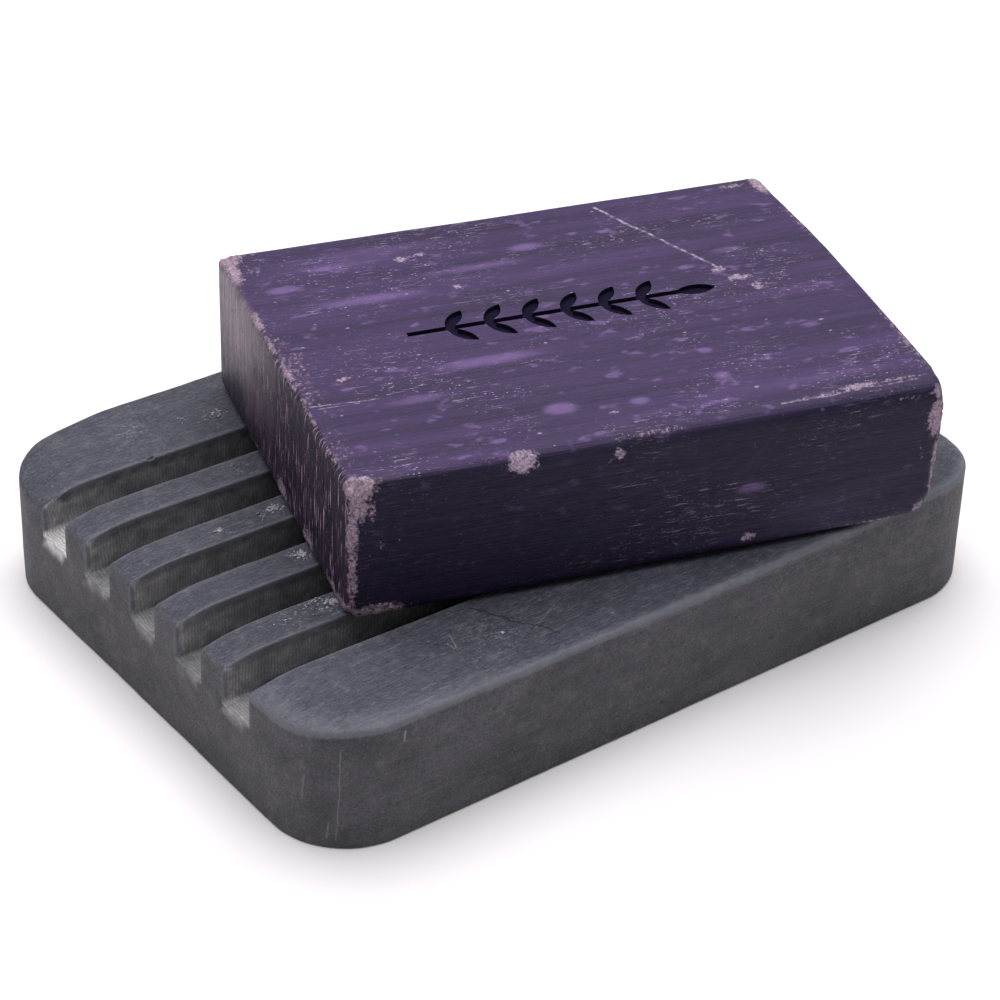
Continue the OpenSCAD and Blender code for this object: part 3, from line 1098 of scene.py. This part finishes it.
@dataclass
class SoapBar:
    """Hand-cut bar, modelled square to its own axes from the middle of its base."""

    effects: Effects
    length: float = 88.0
    width: float = 65.3
    turn: float = math.radians(17.0)
    front_top_radius: float = 2.4
    right_base_radius: float = 2.6
    right_swell: float = 0.8
    right_bow: float = 1.15
    edge_radius: float = 1.2
    voxel: float = 0.48
    sprig_length: float = 48.0
    stem_width: float = 1.1
    leaf_pairs: int = 6
    leaf_length: float = 5.6
    leaf_width: float = 2.1
    leaf_angle: float = math.radians(50.0)
    bud_length: float = 6.5
    stamp_depth: float = 0.7
    stamp_shift: float = 2.4
    sharp_angle: float = 40.0

    def __post_init__(self) -> None:
        """Takes the bar's place and height from the frame."""
        low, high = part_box("soap_bar")
        self.middle = (low + high) / 2
        self.base_z = low.z
        self.height = (high.z - low.z) / MM

    def place(self) -> Matrix:
        """Takes the bar's own millimetres to the frame's metres."""
        move = Matrix.Translation((self.middle.x, self.middle.y, self.base_z))
        return move @ Matrix.Rotation(-self.turn, 4, "Z") @ Matrix.Scale(MM, 4)

    @cached_property
    def chips(self) -> list[Chip]:
        """Every pale mark on the bar, starting with its near left upright edge."""
        left, right = -self.length / 2, self.length / 2
        front, back, top = -self.width / 2, self.width / 2, self.height
        return [
            Chip((left + 1.6, front + 0.6, top - 0.6), (2.7, 1.7, 1.9), cut=True),
            Chip((left + 1.6, front, top - 3.6), (1.5, 1.0, 2.6), strength=0.85),
            Chip((left + 3.6, front, top - 4.6), (0.5, 0.6, 2.2), strength=0.55),
            Chip((left + 0.8, front + 0.2, top * 0.62), (0.95, 0.8, 5.2), strength=0.72),
            Chip((left + 0.8, front + 0.2, top * 0.30), (0.8, 0.7, 5.6), strength=0.68),
            Chip((left + 0.3, front + 0.8, 0.8), (2.0, 2.6, 1.5), cut=True),
            Chip((left + 4.6, front, 0.8), (4.2, 0.9, 1.4), strength=0.72),
            Chip((left, front + 5.6, 0.8), (0.9, 4.6, 1.6), strength=0.68),
            Chip((left, front + 18.4, 0.9), (0.9, 2.6, 2.6), strength=0.75),
            Chip((left, front + 31.4, 0.9), (0.9, 2.8, 2.8), strength=0.72),
            Chip((left, front + 45.0, 0.5), (0.7, 3.4, 1.0), strength=0.55),
            Chip((left + 0.9, back - 1.6, top), (2.3, 2.2, 1.0), cut=True, strength=1.25),
            Chip((left + 0.5, back - 5.2, top), (1.6, 4.0, 0.9), strength=1.15),
            Chip((left + 3.9, back - 6.2, top), (1.3, 1.3, 0.5), strength=0.42),
            Chip((left + 0.4, back - 20.0, top), (0.8, 3.0, 0.8), strength=0.85, cut=True),
            Chip((left + 0.3, back - 27.0, top), (0.7, 3.4, 0.7), strength=0.7),
            Chip((left + 0.3, back - 36.0, top), (0.8, 5.2, 0.7), strength=0.8),
            Chip((left + 0.3, back - 46.0, top), (0.7, 6.0, 0.6), strength=0.62),
            Chip((left + 0.2, back - 57.0, top), (0.6, 5.0, 0.6), strength=0.6),
            Chip((left + 1.2, back - 36.0, top), (3.4, 13.0, 0.7), strength=0.34),
            Chip((left + 1.0, back - 56.0, top), (2.4, 7.0, 0.7), strength=0.30),
            Chip((left + 25.3, front + 0.5, top - 1.0), (2.1, 1.6, 1.7), cut=True),
            Chip((left + 39.2, front + 0.2, top - 2.4), (0.9, 0.6, 0.9), strength=0.8),
            Chip((left + 45.0, front + 1.2, top - 0.5), (4.4, 0.45, 0.5), strength=0.5),
            Chip((left + 76.5, front + 3.0, top), (3.0, 0.7, 0.5), strength=0.9),
            Chip((left + 70.5, front + 2.3, top), (4.2, 0.45, 0.5), strength=0.58),
            Chip((right - 5.0, front + 3.2, top), (4.2, 0.45, 0.5), strength=0.58),
            Chip((right - 4.0, front + 0.5, top - 1.6), (5.0, 0.5, 0.4), strength=0.5),
            Chip((right + 0.1, front + 0.2, top - 5.6), (1.6, 0.9, 3.0), strength=1.1),
            Chip((right - 0.2, front + 0.4, top - 1.2), (0.8, 1.0, 1.4), strength=0.8),
            Chip((right - 2.2, front, top * 0.50), (0.25, 0.5, 2.4), strength=0.6),
            Chip((right + 0.3, front + 0.3, top * 0.34), (0.55, 0.7, 7.4), strength=0.8),
            Chip((right - 1.2, front + 0.2, 1.3), (1.5, 0.6, 1.2), strength=0.75),
            Chip((right - 8.0, front + 0.2, 0.5), (6.5, 0.5, 0.4), strength=0.5),
            Chip((right - 1.2, back - 2.6, top), (1.2, 3.2, 0.7), strength=0.9),
            Chip((right - 5.5, back - 2.4, top), (2.2, 0.8, 0.5), strength=0.55),
            Chip((right - 0.1, back - 14.0, top), (0.6, 8.0, 0.5), strength=0.42),
            Chip((right + 0.4, back - 52.0, top), (0.6, 9.0, 0.5), strength=0.5),
            Chip((left + 59.7, front, 1.9), (1.1, 0.5, 0.7), strength=0.75),
            Chip((left + 5.0, front, 11.7), (0.3, 0.4, 1.0), strength=0.75),
            Chip((left + 72.4, self.stamp_shift + 1.4, top), (1.9, 1.0, 0.4), strength=0.75),
            Chip((left + 70.4, self.stamp_shift + 4.6, top), (1.2, 0.8, 0.4), strength=0.7),
            Chip((left + 74.0, self.stamp_shift - 1.6, top), (0.9, 1.4, 0.4), strength=0.6),
            Chip((left + 25.8, back - 9.2, top), (1.1, 0.7, 0.4), strength=0.8),
            Chip((left + 29.0, back - 8.6, top), (1.5, 0.6, 0.4), strength=0.5),
            Chip((left + 7.6, -6.4, top), (1.3, 0.6, 0.4), strength=0.72),
            Chip((left + 31.3, 13.2, top), (0.8, 0.6, 0.4), strength=0.72),
            Chip((left + 40.8, front + 7.0, top), (1.0, 0.35, 0.4), strength=0.72),
        ]

    def build(self) -> Object:
        """Models the bar.

        Returns:
            The bar, riding on its body.
        """
        size = Vector((self.length, self.width, self.height))
        bar = Bench.block("soap_bar_violet", size, Vector((0, 0, self.height / 2)))
        Bench.bevel(bar, self.edge_radius, 4, lambda a, b: True)
        Bench.slice_along(bar, Axis.X, [-38 + 4.0 * i for i in range(20)])
        Bench.slice_along(bar, Axis.Y, [-27 + 6.0 * i for i in range(10)])
        Bench.slice_along(bar, Axis.Z, [3.5 + 3.0 * i for i in range(6)])
        self._rub_edges(bar)
        Bench.push(bar, grain=30.0, reach=0.3)
        Bench.keep_within(bar, 0.0, self.height)
        Bench.combine(bar, self._chip_cutters(), "DIFFERENCE")
        Bench.apply(bar, "REMESH", mode="VOXEL", voxel_size=self.voxel)
        Bench.weigh(bar, "crumbly", lambda point: min(sum(self._shares(point)), 1.0))
        Bench.push(bar, grain=1.1, reach=1.0, group="crumbly", depth=3)
        Bench.combine(bar, [self._sprig()], "DIFFERENCE")
        self._paint(bar)
        soap = SoapFinish(self.effects, -self.turn, (self.middle.x, self.middle.y, self.base_z)).material()
        Bench.hand_over(bar, self.place(), self.sharp_angle, soap, Body.BAR, Slot.SOAP)
        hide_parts("soap_bar")
        return bar

    def _rub_edges(self, bar: Object) -> None:
        """Widens the roundings at the front's top and the right's bottom, and swells the right end
        and bows its top edge out."""
        near = self.edge_radius + 0.05
        more_front = self.front_top_radius / self.edge_radius - 1.0
        more_right = self.right_base_radius / self.edge_radius - 1.0
        half = self.width / 2
        for vertex in bar.data.vertices:
            point = vertex.co
            from_front, from_top = point.y + self.width / 2, self.height - point.z
            from_right, from_base = self.length / 2 - point.x, point.z
            if from_front < near and from_top < near:
                grow = 1.0 + more_front * smooth(-40.0, -18.0, point.x)
                point.y = from_front * grow - self.width / 2
                point.z = self.height - from_top * grow
            if from_right < near and from_base < near:
                point.x = self.length / 2 - from_right * (1.0 + more_right)
                point.z = from_base * (1.0 + more_right)
            level = (point.z - self.height / 2) / (self.height / 2)
            bow = self.right_bow * smooth(-0.6, 0.8, level) * smooth(half, half - 26.0, point.y)
            bow *= smooth(-half - 4.0, -half + 5.0, point.y)
            point.x += (self.right_swell * (1.0 - level * level) + bow) * smooth(34.0, 44.0, point.x)

    def _chip_cutters(self) -> list[Object]:
        """Lumps that break the deeper chips out of the bar."""
        cutters = []
        for chip in self.chips:
            if chip.cut:
                place = Vector(chip.place)
                outward = Vector((place.x / self.length, place.y / self.width,
                                  place.z / self.height - 0.5)).normalized()
                centre = place + outward * min(chip.reach) * 0.55
                cutters.append(Bench.pebble("bar_chip", centre, Vector(chip.reach) * 0.8, 0.7))
        return cutters

    def _leaf(self, length: float, width: float) -> Object:
        """A lens-shaped cutter along +X from the origin, where two cylinders overlap."""
        radius = (length * length + width * width) / (4 * width)
        leaf, other = (
            Bench.pillar("leaf", radius, 2 * self.stamp_depth,
                         Vector((length / 2, side * (radius - width / 2), self.height)))
            for side in (1, -1))
        Bench.combine(leaf, [other], "INTERSECT")
        return leaf

    def _sprig(self) -> Object:
        """A cutter for the lavender sprig that is pressed into the top."""
        start = -self.sprig_length / 2
        pitch = (self.sprig_length - self.bud_length) / (self.leaf_pairs + 1)
        stem_length = self.sprig_length - self.bud_length / 2
        stem = Bench.block("stem", Vector((stem_length, self.stem_width, 2 * self.stamp_depth)),
                           Vector((start + stem_length / 2, self.stamp_shift, self.height)))
        bud = self._leaf(self.bud_length, self.leaf_width * 1.3)
        bud.data.transform(Matrix.Translation((-start - self.bud_length, self.stamp_shift, 0)))
        parts = [bud]
        pattern = self._leaf(self.leaf_length, self.leaf_width)
        for pair in range(1, self.leaf_pairs + 1):
            for side in (-1, 1):
                leaf = Bench.duplicate(pattern)
                move = Matrix.Translation((start + pair * pitch, self.stamp_shift, 0))
                leaf.data.transform(move @ Matrix.Rotation(side * self.leaf_angle, 4, "Z"))
                parts.append(leaf)
        bpy.data.objects.remove(pattern)
        Bench.combine(stem, parts, "UNION")
        return stem

    def _shares(self, point: Vector) -> list[float]:
        """What each chip that could reach a point gives there."""
        return [chip.share(point) for chip in self.chips if chip.is_near(point)]

    def _paint(self, bar: Object) -> None:
        """Stores where the soap is chipped, marbled, grazed or pressed in; the pressed share carries the
        painted shade in the sprig.
        """
        Bench.paint(bar, "chipped", lambda point: max(self._shares(point), default=0.0))
        for name, value in (("marble", self._marbled), ("grazed", self._grazed), ("pressed", self._pressed)):
            Bench.paint(bar, name, value)

    @cached_property
    def marbling(self) -> list[Chip]:
        """Bright violet marks on the top and one on the front."""
        on_top = (
            (-37.4, 19.8, 2.8, 0.9, 1.0), (1.0, 21.5, 2.6, 1.0, 1.0), (-26.0, 13.6, 8.0, 1.2, 0.75),
            (-9.9, -22.6, 2.4, 1.4, 1.0), (-15.0, -7.6, 7.5, 1.3, 0.8), (15.1, -21.2, 1.3, 1.0, 1.0),
            (-8.0, 18.0, 8.5, 1.0, 0.6), (15.4, -14.2, 1.1, 0.7, 1.0), (-28.0, -14.5, 4.5, 1.0, 0.6),
            (1.5, -23.9, 1.4, 0.8, 1.0), (-30.0, 24.0, 2.2, 0.7, 0.8), (30.0, 12.0, 3.0, 0.8, 0.6),
            (33.0, -12.0, 1.5, 0.8, 0.7),
        )
        marks = [Chip((x, y, 22), (along, across, 1), strength=strength)
                 for x, y, along, across, strength in on_top]
        return marks + [Chip((15.7, -32.6, 10.4), (2.2, 1, 0.8), strength=0.7)]

    def _marbled(self, point: Vector) -> float:
        """Share of bright violet marbling at a point on the top or the front."""
        return max(mark.share(point) for mark in self.marbling)

    def _grazed(self, point: Vector) -> float:
        """Share of the upright grazes on the left end."""
        return smooth(-self.length / 2 + 0.9, -self.length / 2 + 0.2, point.x)

    def _pressed(self, point: Vector) -> float:
        """Share of the sprig's floor at a point, which is painted near black as shade in the recess."""
        inside = abs(point.x) < self.sprig_length / 2 + 0.5 and abs(point.y - self.stamp_shift) < 6.0
        return smooth(0.1, self.stamp_depth, self.height - point.z) if inside else 0.0


@dataclass
class SoapCrumbs:
    """Flakes of soap lying on the ridges and the back land beside the bar."""

    effects: Effects
    dish: StoneDish
    seed: int = 7

    def build(self) -> Object:
        """Models the crumbs as one piece.

        Returns:
            The crumbs, riding on the dish.
        """
        rng = random.Random(self.seed)
        heaps = [
            ((-34.5, 7.3), 0.9, 60, 0.26), ((-37.2, 6.5), 0.8, 12, 0.22), ((-44.3, 6.8), 0.6, 16, 0.20),
            ((-37.9, -4.5), 1.0, 60, 0.25), ((-40.6, -16.7), 1.0, 60, 0.27), ((-43.4, -15.9), 2.2, 30, 0.18),
            ((-49.6, -17.2), 1.2, 5, 0.20), ((-27.1, 33.9), 1.5, 8, 0.28), ((-32.8, 35.2), 1.2, 3, 0.2),
            ((-25.1, -35.7), 0.4, 1, 0.3),
        ]
        flakes = [self._flake(rng, x, y, spread, size)
                  for (x, y), spread, count, size in heaps for _ in range(count)]
        flakes = [flake for flake in flakes if flake]
        Bench.clear()
        for flake in flakes:
            flake.select_set(True)
        bpy.context.view_layer.objects.active = flakes[0]
        bpy.ops.object.join()
        crumbs = bpy.context.object
        crumbs.name = "soap_crumbs"
        broken_soap = CrumbFinish(self.effects).material()
        Bench.hand_over(crumbs, Matrix.Scale(MM, 4), 40.0, broken_soap, Body.DISH, Slot.SOAP)
        return crumbs

    def _flake(self, rng: random.Random, x: float, y: float, spread: float, size: float) -> Object | None:
        """One flake near a heap's middle, or nothing if it would hang over a groove.

        Args:
            rng: The seeded source of places and sizes.
            x: Heap's middle along the dish.
            y: Heap's middle across the dish.
            spread: How far the heap reaches.
            size: Usual half size of a flake.

        Returns:
            The flake, or None.
        """
        px, py = rng.gauss(x, spread * 0.5), rng.gauss(y, spread * 0.42)
        scale = size * rng.uniform(0.25, 0.95)
        radii = scale * Vector((rng.uniform(0.8, 1.7), rng.uniform(0.6, 1.1), rng.uniform(0.35, 0.7)))
        edge = self.dish.groove_width / 2 + radii.y + 0.2
        if min(abs(py - middle) for middle in self.dish.groove_middles()) < edge:
            return None
        pz = self.dish.height - self.dish.top_drop(px) + radii.z * 0.7
        return Bench.pebble("crumb", Vector((px, py, pz)), radii, scale * 0.6, detail=2, grain=0.5)


# -------------------------------------------------------------------------------- studio


@dataclass(frozen=True)
class Studio:
    """Pale floor, one soft lamp and the camera."""

    target: tuple[float, float, float] = (0.00252, 0.00200, 0.010)
    azimuth: float = math.radians(-37.68)
    elevation: float = math.radians(33.96)
    roll: float = math.radians(1.86)
    distance: float = 0.4772
    lens: float = 113.8
    sensor: float = 36.0
    floor_size: float = 6.0
    floor_light: Colour = (0.86, 0.835, 0.85, 1.0)
    floor_dark: Colour = (0.84, 0.82, 0.835, 1.0)
    lamp_place: tuple[float, float, float] = (0.14, 0.22, 1.2)
    lamp_size: float = 1.8
    lamp_power: float = 30.5
    lamp_colour: tuple[float, float, float] = (1.0, 0.99, 1.0)
    surround: float = 0.30

    def build(self) -> None:
        """Sets up the floor, the lamp, the world and the camera."""
        self._floor()
        self._lamp()
        self._world()
        self._camera()

    def _floor(self) -> None:
        """A wide pale floor that the dish stands on."""
        Bench.clear()
        bpy.ops.mesh.primitive_plane_add(size=self.floor_size, location=(0, 0, 0))
        floor = bpy.context.object
        floor.name = "floor"
        material, board, shader, where = new_material("pale_floor", 0.1)
        shade = board.step(board.clouds(where, 2.0, 1.0), 0.0, 1.0, 0.0, 0.05)
        board.feed(shader.inputs["Base Color"], board.blend(shade, self.floor_light, self.floor_dark))
        shader.inputs["Roughness"].default_value = 0.9
        floor.data.materials.append(material)

    def _lamp(self) -> None:
        """A big square softbox overhead, a little towards the back right."""
        data = bpy.data.lights.new("overhead", "AREA")
        data.shape = "SQUARE"
        data.size = self.lamp_size
        data.energy = self.lamp_power
        data.color = self.lamp_colour
        lamp = bpy.data.objects.new("overhead", data)
        bpy.context.scene.collection.objects.link(lamp)
        lamp.location = self.lamp_place
        lamp.rotation_euler = (-Vector(self.lamp_place)).to_track_quat("-Z", "Y").to_euler()

    def _world(self) -> None:
        """Soft even light from all round."""
        world = bpy.data.worlds.new("studio")
        bpy.context.scene.world = world
        world.use_nodes = True
        background = world.node_tree.nodes["Background"]
        background.inputs["Color"].default_value = (1.0, 1.0, 1.0, 1.0)
        background.inputs["Strength"].default_value = self.surround

    def _camera(self) -> None:
        """Places the camera at its angle round the object."""
        flat = math.cos(self.elevation)
        back = Vector((math.sin(self.azimuth) * flat, -math.cos(self.azimuth) * flat,
                       math.sin(self.elevation)))
        right = Vector((0, 0, 1)).cross(back).normalized()
        up = back.cross(right)
        turned_right = right * math.cos(self.roll) + up * math.sin(self.roll)
        turned_up = up * math.cos(self.roll) - right * math.sin(self.roll)
        data = bpy.data.cameras.new("camera")
        data.lens = self.lens
        data.sensor_width = self.sensor
        camera = bpy.data.objects.new("camera", data)
        bpy.context.scene.collection.objects.link(camera)
        turn = Matrix((turned_right, turned_up, back)).transposed().to_4x4()
        camera.matrix_world = Matrix.Translation(Vector(self.target) + back * self.distance) @ turn
        bpy.context.scene.camera = camera
        bpy.context.scene.view_settings.view_transform = "Standard"


def main() -> None:
    """Builds the set, piece by piece, and reports each."""
    logging.basicConfig(level=logging.INFO, format="%(name)s: %(message)s")
    effects = Effects()
    Studio().build()
    dish = StoneDish(effects)
    for maker in (dish, SoapBar(effects), SoapCrumbs(effects, dish)):
        piece = maker.build()
        piece.data.calc_loop_triangles()
        log.info("%s: %d triangles", piece.name, len(piece.data.loop_triangles))


if __name__ == "__main__":
    main()
